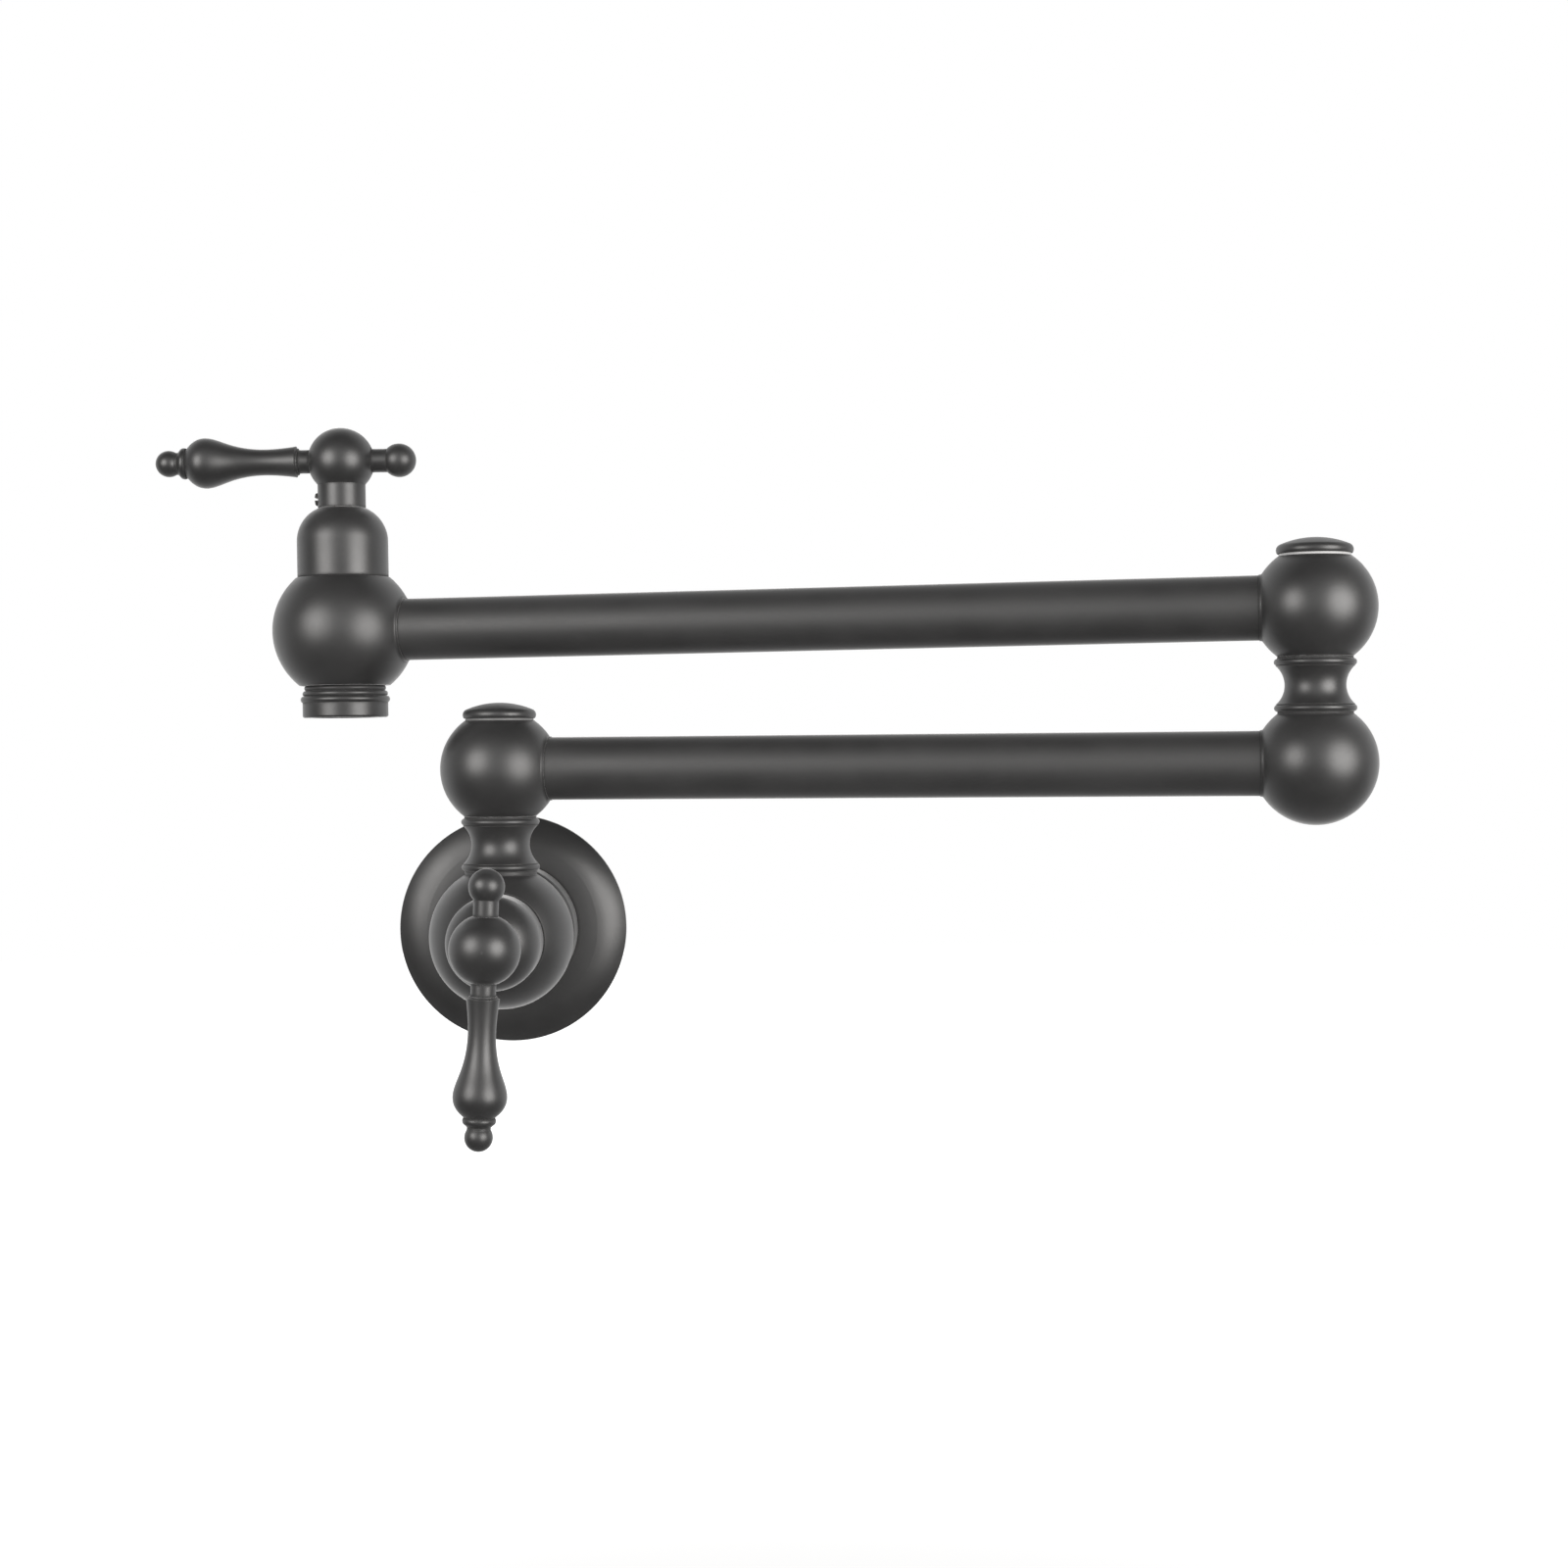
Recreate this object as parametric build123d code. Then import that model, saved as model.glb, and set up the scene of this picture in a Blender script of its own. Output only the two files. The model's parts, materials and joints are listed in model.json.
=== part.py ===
from build123d import *
import os
from math import asin, atan, cos, radians, sin, sqrt

# Wall-mounted folding kitchen faucet: a wall valve carries a riser, two arms fold one above
# the other on swivel balls, and a second valve at the outlet shuts the water off at the pot.
# Millimetres. The origin is the middle of the wall face, +X runs right along the wall,
# +Y goes into the wall and +Z is up.

# Reach and resting pose
wall_to_riser = 45.5
lower_arm_length = 256.5
upper_arm_length = 311.5
lower_arm_swing = 9.5
upper_arm_swing = 11.5
upper_arm_fall = 0.45
wall_lever_lean = 2.4
outlet_lever_turn = -1.0

# Fits, and how far a cut runs past the face that it opens
fit_gap = 0.03
running_gap = 0.05
swivel_gap = 0.10
handle_gap = 0.30
cut_margin = 1.0

# Balls, tubes and their brazed necks
arm_ball_radius = 19.0
valve_ball_radius = 23.1
tube_radius = 10.0
tube_wall = 1.7
socket_depth = 4.5
neck_wall = 0.2
neck_length = 0.3
neck_fillet = 0.8

# Wall flange, sleeve and inlet
flange_radius = 38.0
flange_rim_height = 2.4
flange_wall = 2.6
flange_edge_tilt = 39.0
flange_blend_tilt = 9.0
flange_edge_arc = 20.0
flange_crown_arc = 45.0
gasket_width = 5.0
gasket_thickness = 2.0
sleeve_radius = 22.0
sleeve_length = 16.3
sleeve_round = 1.6
body_boss_radius = 16.5
inlet_thread_radius = 9.3
inlet_thread_length = 16.0
shank_wall = 3.6
shank_spigot_radius = 10.4
shank_spigot_length = 8.0
inlet_washer_thickness = 1.5
water_port_radius = 5.5

# Spools and swivel posts
spool_ring_radius = 12.5
spool_ring_thickness = 2.2
spool_waist_radius = 9.3
spool_shoulder_radius = 12.0
spool_seat_radius = 11.5
spool_collar = 0.6
riser_base_collar = 1.35
riser_waist_length = 12.3
elbow_waist_length = 11.85
post_radius = 6.0
post_bore_radius = 3.4
post_engagement = 7.0
post_port_radius = 2.4
gallery_radius = 9.0
gallery_half_height = 3.6
oring_section_radius = 0.7
thrust_washer_radius = 9.5
thrust_washer_thickness = 0.75
stud_radius = 3.0
nut_flats = 10.0
nut_height = 3.2
nut_washer_thickness = 1.0
nut_recess_depth = 5.2
nut_recess_radius = 8.6

# Swivel caps
cap_seat_radius = 11.1
cap_radius = 11.7
cap_washer_radius = 10.9
cap_washer_thickness = 0.75
cap_lip_height = 1.1
cap_edge_arc = 1.9
cap_height = 5.75
cap_roof = 1.8
cap_spigot_depth = 2.4
cap_spigot_wall = 1.4

# Valve headwork, measured from the bonnet's seat on the ball
bonnet_radius = 14.75
bonnet_ledge = 0.5
bonnet_foot_round = 0.4
bonnet_skirt = 11.9
bonnet_dome_arc = 11.8
bonnet_top_radius = 7.85
bonnet_wall = 1.6
headwork_radius = 9.4
valve_ledge = -1.5
headwork_wall = 1.8
chamber_radius = 11.0
chamber_floor_gap = 1.8
chamber_height = 8.0
hex_flats = 20.0
hex_height = 5.0
headwork_neck_radius = 6.6
clip_radius = 5.4
clip_thickness = 0.8
clip_groove = 0.7
seat_seal_thickness = 2.0
disc_thickness = 2.5
disc_port_radius = 2.6
drive_flange_thickness = 2.4
stem_radius = 4.0
stem_end_radius = 3.4
window_width = 8.0

# Handles
hub_radius = 10.85
hub_neck_radius = 7.75
hub_height = 38.1
hub_flat_distance = 10.0
stem_top_below_hub = 5.0
bar_neck_radius = 3.82
bar_shank_radius = 2.4
bar_shank_length = 5.0
lever_collar_at = 13.9
lever_collar_radius = 5.05
lever_collar_round = 0.7
lever_flare_at = 18.3
lever_flare_radius = 4.6
lever_waist_at = 24.2
lever_waist_radius = 4.22
lever_swell_at = 36.8
lever_swell_radius = 6.15
lever_bulb_at = 44.1
lever_bulb_radius = 8.2
lever_notch_radius = 4.65
lever_ring_at = 50.3
lever_ring_radius = 5.1
lever_ring_length = 1.9
lever_ring_round = 0.35
lever_groove_at = 53.2
lever_groove_radius = 3.6
lever_tip_at = 56.3
lever_tip_radius = 4.3
knob_at = 19.0
knob_radius = 5.5
grub_radius = 2.1
grub_proud = 0.8
grub_height = 25.7
grub_chamfer = 0.3
grub_slot_width = 0.9
grub_slot_depth = 1.2

# Outlet and aerator
outlet_seat_radius = 14.7
outlet_upper_bead_radius = 13.2
outlet_lower_bead_radius = 13.8
outlet_bead_height = 1.8
outlet_bead_round = 0.6
outlet_spigot_radius = 9.8
outlet_spigot_depth = 6.0
aerator_radius = 13.85
aerator_ridge_radius = 14.45
aerator_ridge_height = 2.0
aerator_ridge_round = 0.5
aerator_height = 6.9
aerator_wall = 1.95
aerator_lip = 1.2
aerator_lip_width = 3.6
aerator_round = 0.7
aerator_thread_length = 3.3
aerator_thread_wall = 1.9
insert_flange_thickness = 1.1
insert_height = 4.2
honeycomb_radius = 0.95
honeycomb_pitch = 2.6
screen_thickness = 0.4
screen_hole_radius = 0.5

FROM_BASE = (Align.CENTER, Align.CENTER, Align.MIN)


def flat_height(radius, flat_radius):
    """Distance from a ball's centre to a flat of the given radius."""
    return sqrt(radius**2 - flat_radius**2)


# Places that follow from the sizes above
arm_flat = flat_height(arm_ball_radius, spool_seat_radius)
riser_flat = flat_height(valve_ball_radius, spool_seat_radius)
cap_seat = flat_height(arm_ball_radius, cap_seat_radius)
bonnet_seat = flat_height(valve_ball_radius, bonnet_radius + bonnet_ledge)
outlet_seat = flat_height(valve_ball_radius, outlet_seat_radius)
headwork_depth = bonnet_seat - valve_ledge
trim_size = 4 * valve_ball_radius
riser_spool_length = riser_base_collar + riser_waist_length + 2 * spool_ring_thickness + spool_collar
elbow_spool_length = elbow_waist_length + 2 * (spool_ring_thickness + spool_collar)
shoulder_height = riser_flat + riser_spool_length + swivel_gap + arm_flat
arm_spacing = 2 * arm_flat + elbow_spool_length + swivel_gap
tube_bore = tube_radius - tube_wall
post_hole = post_radius + running_gap
nut_recess_floor = cap_seat - nut_recess_depth
oring_heights = (-(arm_flat - thrust_washer_thickness + gallery_half_height) / 2,
                 (nut_recess_floor + gallery_half_height) / 2)
shank_radius = inlet_thread_radius + shank_wall
flange_edge_centre = flange_radius - flange_edge_arc * sin(radians(flange_edge_tilt))
flange_edge_low = flange_rim_height - flange_edge_arc * cos(radians(flange_edge_tilt))
bonnet_arc_centre = bonnet_radius - bonnet_dome_arc
bonnet_top = bonnet_skirt + flat_height(bonnet_dome_arc, bonnet_top_radius - bonnet_arc_centre)

shoulder = Pos(0, -wall_to_riser, shoulder_height)
lower_arm = shoulder * Rot(0, 0, -lower_arm_swing)
elbow_foot = lower_arm * Pos(lower_arm_length, 0, 0)
elbow = elbow_foot * Pos(0, 0, arm_spacing)
upper_arm = elbow * Rot(0, 0, 180 + lower_arm_swing - upper_arm_swing)
outlet = upper_arm * Rot(0, upper_arm_fall, 0) * Pos(upper_arm_length, 0, 0) * Rot(0, 0, 180)
from_wall = Rot(90, 0, 0)
wall_valve = from_wall * Pos(0, 0, wall_to_riser)
wall_handle_turn = Rot(0, 0, 90 - wall_lever_lean)
outlet_handle_turn = Rot(0, 0, upper_arm_swing + outlet_lever_turn)


def rod(radius, low, high):
    """A cylinder on the Z axis between two heights."""
    return Pos(0, 0, low) * Cylinder(radius, high - low, align=FROM_BASE)


def ring(outer, inner, low, high):
    """A washer shape on the Z axis."""
    return rod(outer, low, high) - rod(inner, low, high)


def cross_rod(radius, start, end, height=0.0):
    """A cylinder along X between two distances, at a height."""
    return Pos(start, 0, height) * Rot(0, 90, 0) * Cylinder(radius, end - start, align=FROM_BASE)


def turned(*edges):
    """A solid of revolution about Z, from a closed outline of radius and height."""
    return revolve(Plane.XZ * make_face(edges), Axis.Z)


def trim(height, above):
    """A block that cuts away everything above or below a height."""
    side = Align.MIN if above else Align.MAX
    block = Box(trim_size, trim_size, trim_size, align=(Align.CENTER, Align.CENTER, side))
    return Pos(0, 0, height) * block


def bead_disc(radius, rounding, low, high):
    """A disc on the Z axis whose edge is a rounded bead."""
    foot = radius - rounding
    return turned(
        Line((0, low), (foot, low)),
        ThreePointArc((foot, low), (radius, (low + high) / 2), (foot, high)),
        Line((foot, high), (0, high)),
        Line((0, high), (0, low)),
    )


def save(name, piece):
    """Write one node."""
    export_step(piece, f"parts/{name}.step")


def neck_end(ball_radius):
    """How far from a ball's centre its tube neck ends."""
    outer = tube_radius + neck_wall
    return flat_height(ball_radius + neck_fillet, outer + neck_fillet) + neck_length


def necked_ball(ball_radius):
    """A ball with the short filleted neck that the arm tube is brazed into, along +X."""
    outer = tube_radius + neck_wall
    end = neck_end(ball_radius)
    fillet_at = end - neck_length
    touch = ball_radius / (ball_radius + neck_fillet)
    on_ball = (touch * (outer + neck_fillet), touch * fillet_at)
    half_turn = asin(fillet_at / (ball_radius + neck_fillet)) / 2
    mid_fillet = (outer + neck_fillet * (1 - cos(half_turn)), fillet_at - neck_fillet * sin(half_turn))
    blank = turned(
        ThreePointArc((0, -ball_radius), (ball_radius, 0), on_ball),
        ThreePointArc(on_ball, mid_fillet, (outer, fillet_at)),
        Polyline((outer, fillet_at), (outer, end), (0, end), (0, -ball_radius)),
    )
    return Rot(0, 90, 0) * blank


def socket_floor(ball_radius):
    """How far from a ball's centre the arm tube's end sits."""
    return neck_end(ball_radius) - neck_length - socket_depth


def socket(ball_radius):
    """The seat cut for the arm tube's end, along +X."""
    end = neck_end(ball_radius) + cut_margin
    return cross_rod(tube_radius + fit_gap, socket_floor(ball_radius), end)


def waterway(ball_radius, start=0.0, height=0.0):
    """The water passage from inside a ball to the end of its arm tube, along +X."""
    return cross_rod(gallery_half_height, start, socket_floor(ball_radius) + cut_margin, height)


def arm_tube(length, start_floor, end_floor):
    """A tube between two sockets, along +X."""
    outer = cross_rod(tube_radius, start_floor, length - end_floor)
    return outer - cross_rod(tube_bore, start_floor, length - end_floor)


def flange_dome(inset):
    """The flange's domed outline of revolution, offset inwards by a wall."""
    edge_tilt = radians(flange_edge_tilt)
    blend_tilt = radians(flange_blend_tilt)
    edge = flange_edge_arc - inset
    crown = flange_crown_arc - inset
    crown_centre = flange_edge_centre - (flange_crown_arc - flange_edge_arc) * sin(blend_tilt)
    crown_low = flange_edge_low - (flange_crown_arc - flange_edge_arc) * cos(blend_tilt)

    def edge_point(tilt):
        return flange_edge_centre + edge * sin(tilt), flange_edge_low + edge * cos(tilt)

    def crown_point(tilt):
        return crown_centre + crown * sin(tilt), crown_low + crown * cos(tilt)

    rim_top = edge_point(edge_tilt)
    blend = edge_point(blend_tilt)
    top = crown_point(0)
    return turned(
        Line((0, 0), (rim_top[0], 0)),
        Line((rim_top[0], 0), rim_top),
        ThreePointArc(rim_top, edge_point((edge_tilt + blend_tilt) / 2), blend),
        ThreePointArc(blend, crown_point(blend_tilt / 2), top),
        Line(top, (0, top[1])),
        Line((0, top[1]), (0, 0)),
    ), top[1]


def spool(foot_collar, waist_length):
    """A turned distance piece with two bead rings and a hollowed waist, standing on Z = 0."""
    low_ring = foot_collar
    waist_low = low_ring + spool_ring_thickness
    waist_high = waist_low + waist_length
    high_ring = waist_high + spool_ring_thickness
    top = high_ring + spool_collar
    bead = spool_ring_radius - spool_ring_thickness / 2
    bore = post_radius + fit_gap

    def bead_arc(low, high):
        return ThreePointArc((bead, low), (spool_ring_radius, (low + high) / 2), (bead, high))

    return turned(
        Line((bore, 0), (spool_seat_radius, 0)),
        Line((spool_seat_radius, 0), (spool_seat_radius, low_ring)),
        Line((spool_seat_radius, low_ring), (bead, low_ring)),
        bead_arc(low_ring, waist_low),
        Line((bead, waist_low), (spool_shoulder_radius, waist_low)),
        ThreePointArc(
            (spool_shoulder_radius, waist_low),
            (spool_waist_radius, (waist_low + waist_high) / 2),
            (spool_shoulder_radius, waist_high),
        ),
        Line((spool_shoulder_radius, waist_high), (bead, waist_high)),
        bead_arc(waist_high, high_ring),
        Line((bead, high_ring), (spool_seat_radius, high_ring)),
        Line((spool_seat_radius, high_ring), (spool_seat_radius, top)),
        Line((spool_seat_radius, top), (bore, top)),
        Line((bore, top), (bore, 0)),
    )


def oring(running_radius, height):
    """A sealing ring that all but fills its groove below a running bore."""
    centre = running_radius - running_gap / 2 - oring_section_radius
    return Pos(0, 0, height) * Torus(centre, oring_section_radius)


def oring_groove(shaft_radius, height):
    """The groove for a sealing ring in a shaft."""
    depth = 2 * oring_section_radius + running_gap
    half = oring_section_radius + running_gap
    return ring(shaft_radius + cut_margin, shaft_radius - depth, height - half, height + half)


def swivel_post(spool_length):
    """The hollow post that a swivel ball turns on, with the ball's centre at the origin."""
    foot = -(arm_flat + swivel_gap + spool_length + post_engagement)
    shoulder_top = nut_recess_floor + running_gap
    post = rod(post_radius, foot, shoulder_top)
    post += rod(stud_radius, shoulder_top, shoulder_top + nut_washer_thickness + nut_height + fit_gap)
    post -= rod(post_bore_radius, foot, gallery_half_height)
    reach = post_radius + cut_margin
    port = cross_rod(post_port_radius, -reach, reach)
    post -= port
    post -= Rot(0, 0, 90) * port
    for height in oring_heights:
        post -= oring_groove(post_radius, height)
    return post


def swivel_orings():
    """The pair of sealing rings on a swivel post."""
    return Compound(children=[oring(post_hole, height) for height in oring_heights])


def thrust_washer():
    """The slippery washer that carries a swivel ball on its spool."""
    low = -arm_flat - swivel_gap
    return ring(thrust_washer_radius, post_radius + fit_gap, low, low + thrust_washer_thickness)


def nut_washer():
    """The washer that holds a swivel ball down on its post."""
    low = nut_recess_floor + running_gap
    return ring(nut_recess_radius - 2 * handle_gap, stud_radius + fit_gap, low, low + nut_washer_thickness)


def swivel_nut():
    """The hexagon nut on a swivel post's stud."""
    low = nut_recess_floor + running_gap + nut_washer_thickness
    blank = extrude(RegularPolygon(nut_flats / 2, 6, major_radius=False), nut_height)
    return Pos(0, 0, low) * blank - rod(stud_radius + fit_gap, low, low + nut_height)


def swivel_ball(fall=0.0):
    """A ball that turns on a post: bored through, with a water gallery and a tube falling along +X."""
    blank = necked_ball(arm_ball_radius) - socket(arm_ball_radius) - waterway(arm_ball_radius)
    ball = Rot(0, fall, 0) * blank
    ball -= trim(-arm_flat, above=False)
    ball -= trim(cap_seat, above=True)
    ball -= rod(post_hole, -arm_ball_radius, arm_ball_radius)
    ball -= rod(gallery_radius, -gallery_half_height, gallery_half_height)
    ball -= rod(nut_recess_radius, nut_recess_floor, arm_ball_radius)
    washer_top = -arm_flat - swivel_gap + thrust_washer_thickness
    return ball - rod(thrust_washer_radius + handle_gap, -arm_ball_radius, washer_top + running_gap)


def swivel_cap():
    """The screw cap over a swivel nut: spigot, lip and oval dome, with the ball's centre at the origin."""
    foot = cap_seat + cap_washer_thickness
    widest = foot + cap_lip_height
    top = cap_seat + cap_height
    edge_centre = cap_radius - cap_edge_arc
    lip = edge_centre + flat_height(cap_edge_arc, cap_lip_height)
    blend_tilt = 2 * atan((top - widest - cap_edge_arc) / edge_centre)
    blend = (edge_centre + cap_edge_arc * sin(blend_tilt), widest + cap_edge_arc * cos(blend_tilt))
    crown_arc = cap_edge_arc + edge_centre / sin(blend_tilt)
    mid_crown = (crown_arc * sin(blend_tilt / 2), top - crown_arc * (1 - cos(blend_tilt / 2)))
    spigot = nut_recess_radius - fit_gap
    hollow = spigot - cap_spigot_wall
    low = cap_seat - cap_spigot_depth
    roof = top - cap_roof
    inside = ((0, top), (0, roof), (hollow, roof), (hollow, low))
    return turned(
        Polyline(*inside, (spigot, low), (spigot, foot), (lip, foot)),
        ThreePointArc((lip, foot), (cap_radius, widest), blend),
        ThreePointArc(blend, mid_crown, (0, top)),
    )


def cap_washer():
    """The pale washer that shows as a thin line between a swivel ball and its cap."""
    return ring(cap_washer_radius, nut_recess_radius, cap_seat, cap_seat + cap_washer_thickness)


def elbow_lower_ball():
    """The ball at the lower arm's end, which holds the elbow post; its tube runs along -X."""
    blank = necked_ball(arm_ball_radius) - socket(arm_ball_radius) - waterway(arm_ball_radius)
    ball = Rot(0, 0, 180) * blank
    ball -= trim(arm_flat, above=True)
    ball -= rod(post_radius + fit_gap, arm_flat - post_engagement, arm_ball_radius)
    return ball - rod(post_bore_radius, 0, arm_flat)


def valve_bores(ball):
    """Cut a ball for a valve: seat flat, threaded bore, water chamber and port below the seal."""
    chamber = valve_ledge + chamber_floor_gap
    ball -= trim(bonnet_seat, above=True)
    ball -= rod(headwork_radius + fit_gap, valve_ledge, valve_ball_radius)
    ball -= rod(chamber_radius, chamber, chamber + chamber_height)
    return ball - rod(water_port_radius, -valve_ball_radius, valve_ledge)


sleeve_low = flange_dome(0)[1]
sleeve_face = sleeve_low + sleeve_length


def wall_flange():
    """The domed flange, a shell with a hole for the inlet shank."""
    outer, top = flange_dome(0)
    inner, _ = flange_dome(flange_wall)
    return outer - inner - rod(shank_radius + fit_gap, 0, top)


def flange_gasket():
    """The soft ring inside the flange's rim that seals it to the wall."""
    inner_arc = flange_edge_arc - flange_wall
    outer = flange_edge_centre + flat_height(inner_arc, gasket_thickness - flange_edge_low) - fit_gap
    return ring(outer, outer - gasket_width, 0, gasket_thickness)


def flange_sleeve():
    """The round sleeve nut between the flange and the valve's ball."""
    blank = ring(sleeve_radius, shank_radius + fit_gap, sleeve_low, sleeve_face)
    edge = blank.edges().filter_by(GeomType.CIRCLE).group_by(Axis.Z)[-1].sort_by(SortBy.RADIUS)[-1]
    return fillet(edge, sleeve_round)


def inlet_shank():
    """The threaded shank that takes the supply pipe and screws into the valve's ball."""
    face = sleeve_face - inlet_washer_thickness
    shank = rod(shank_radius, 0, face)
    shank += rod(shank_spigot_radius, face, sleeve_face + shank_spigot_length)
    shank -= rod(inlet_thread_radius, 0, inlet_thread_length)
    return shank - rod(water_port_radius, 0, sleeve_face + shank_spigot_length)


def inlet_washer():
    """The sealing washer between the shank and the ball."""
    low = sleeve_face - inlet_washer_thickness
    return ring(shank_radius, shank_spigot_radius + fit_gap, low, sleeve_face)


def wall_valve_body():
    """The wall valve's ball with its back boss, in the valve's own frame."""
    back = sleeve_face - wall_to_riser
    body = Sphere(valve_ball_radius) + rod(body_boss_radius, back, 0)
    body -= trim(back, above=False)
    body = valve_bores(body)
    body -= rod(shank_spigot_radius + fit_gap, back, back + shank_spigot_length + fit_gap)
    riser = trim(riser_flat, above=True)
    riser += rod(post_radius + fit_gap, riser_flat - post_engagement, valve_ball_radius)
    riser += rod(post_bore_radius, chamber_radius - chamber_floor_gap, riser_flat)
    return body - Rot(-90, 0, 0) * riser


def outlet_valve_body():
    """The outlet valve's ball, with the upper arm's tube along +X and the outlet below."""
    port_height = valve_ledge + chamber_floor_gap + gallery_half_height
    body = valve_bores(necked_ball(valve_ball_radius) - socket(valve_ball_radius))
    body -= trim(-outlet_seat, above=False)
    body -= rod(outlet_spigot_radius + fit_gap, -valve_ball_radius, outlet_spigot_depth - outlet_seat)
    return body - waterway(valve_ball_radius, chamber_radius - cut_margin, port_height)


def bonnet():
    """The domed bonnet over a valve's headwork, standing on Z = 0."""
    top_angle = asin((bonnet_top - bonnet_skirt) / bonnet_dome_arc)
    inner_arc = bonnet_dome_arc - bonnet_wall
    neck_hole = headwork_neck_radius + fit_gap
    inner_top = bonnet_skirt + flat_height(inner_arc, neck_hole - bonnet_arc_centre)
    neck_angle = asin((inner_top - bonnet_skirt) / inner_arc)

    def on_arc(arc, angle):
        return bonnet_arc_centre + arc * cos(angle), bonnet_skirt + arc * sin(angle)

    inside = bonnet_radius - bonnet_wall
    foot = bonnet_radius - bonnet_foot_round
    return turned(
        Line((inside, 0), (foot, 0)),
        CenterArc((foot, bonnet_foot_round), bonnet_foot_round, -90, 90),
        Line((bonnet_radius, bonnet_foot_round), (bonnet_radius, bonnet_skirt)),
        ThreePointArc(
            (bonnet_radius, bonnet_skirt),
            on_arc(bonnet_dome_arc, top_angle / 2),
            (bonnet_top_radius, bonnet_top),
        ),
        Line((bonnet_top_radius, bonnet_top), (neck_hole, bonnet_top)),
        Line((neck_hole, bonnet_top), (neck_hole, inner_top)),
        ThreePointArc(
            (neck_hole, inner_top),
            on_arc(inner_arc, neck_angle / 2),
            (inside, bonnet_skirt),
        ),
        Line((inside, bonnet_skirt), (inside, 0)),
    )


# Heights inside the headwork, from the bonnet's seat upwards
seal_low = -headwork_depth
fixed_disc_low = seal_low + seat_seal_thickness
moving_disc_low = fixed_disc_low + disc_thickness + running_gap
flange_low = moving_disc_low + disc_thickness
flange_high = flange_low + drive_flange_thickness
disc_radius = headwork_radius - headwork_wall - running_gap
clip_low = bonnet_top - clip_thickness - handle_gap
headwork_top = clip_low - running_gap
stem_top = hub_height - stem_top_below_hub


def headwork_body():
    """The brass screw-in headwork: threaded skirt, hexagon and bonnet thread."""
    body = rod(headwork_radius, seal_low, 0)
    body += extrude(RegularPolygon(hex_flats / 2, 6, major_radius=False), hex_height)
    body += rod(headwork_neck_radius, hex_height, headwork_top)
    body -= rod(headwork_radius - headwork_wall, seal_low, flange_high + running_gap)
    body -= rod(stem_radius + running_gap, seal_low, headwork_top)
    window_height = flange_high - moving_disc_low
    window = Box(trim_size, window_width, window_height, align=FROM_BASE)
    return body - Pos(0, 0, moving_disc_low) * window


def seat_seal():
    """The rubber ring that seals the headwork to the ball's ledge."""
    return ring(disc_radius, water_port_radius, seal_low, fixed_disc_low)


def ported_disc(low):
    """A ceramic disc with two water ports on opposite sides."""
    disc = rod(disc_radius, low, low + disc_thickness)
    for side in (-1, 1):
        disc -= Pos(side * disc_radius / 2, 0, 0) * rod(disc_port_radius, low, low + disc_thickness)
    return disc


def moving_disc():
    """The turning disc, whose ports run out to its rim so that water passes through the headwork's windows."""
    disc = ported_disc(moving_disc_low)
    mouth = Box(disc_radius, 2 * disc_port_radius, disc_thickness, align=(Align.MIN, Align.CENTER, Align.MIN))
    mouth = Pos(disc_radius / 2, 0, moving_disc_low) * mouth
    return disc - mouth - Rot(0, 0, 180) * mouth


def stem():
    """The turning stem: drive flange, shaft through the headwork and the end that carries the handle."""
    shaft = rod(disc_radius, flange_low, flange_high)
    shaft += rod(stem_radius, flange_high, clip_low + clip_thickness + running_gap)
    shaft += rod(stem_end_radius, clip_low, stem_top)
    shaft -= ring(2 * stem_radius, stem_radius - clip_groove, clip_low, clip_low + clip_thickness)
    return shaft - oring_groove(stem_radius, hex_height)


def stem_clip():
    """The snap ring that keeps the stem in the headwork."""
    clip = ring(clip_radius, stem_radius - clip_groove + fit_gap, clip_low, clip_low + clip_thickness)
    mouth = Box(2 * clip_radius, stem_radius, clip_thickness, align=(Align.MIN, Align.CENTER, Align.MIN))
    return clip - Pos(0, 0, clip_low) * mouth


def handle_hub():
    """The handle's ball and neck, bored for the stem and tapped for lever, knob and grub screw."""
    hub = Sphere(hub_radius) + rod(hub_neck_radius, bonnet_top + handle_gap - hub_height, 0)
    block = Box(trim_size, trim_size, trim_size, align=(Align.MIN, Align.CENTER, Align.CENTER))
    flat = Pos(hub_flat_distance, 0, 0) * block
    flat += cross_rod(bar_shank_radius + fit_gap, hub_flat_distance - bar_shank_length, trim_size)
    for turn in (0, 180):
        hub -= Rot(0, 0, turn) * flat
    hub -= rod(stem_end_radius + fit_gap, -hub_height, -stem_top_below_hub + fit_gap)
    return hub - cross_rod(grub_radius + fit_gap, -trim_size, 0, grub_height - hub_height)


def bar_start():
    """The shank and shoulder that lever and knob share, as outline points from the inner end."""
    low = hub_flat_distance - bar_shank_length
    return ((0, low), (bar_shank_radius, low), (bar_shank_radius, hub_flat_distance),
            (bar_neck_radius, hub_flat_distance))


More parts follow.
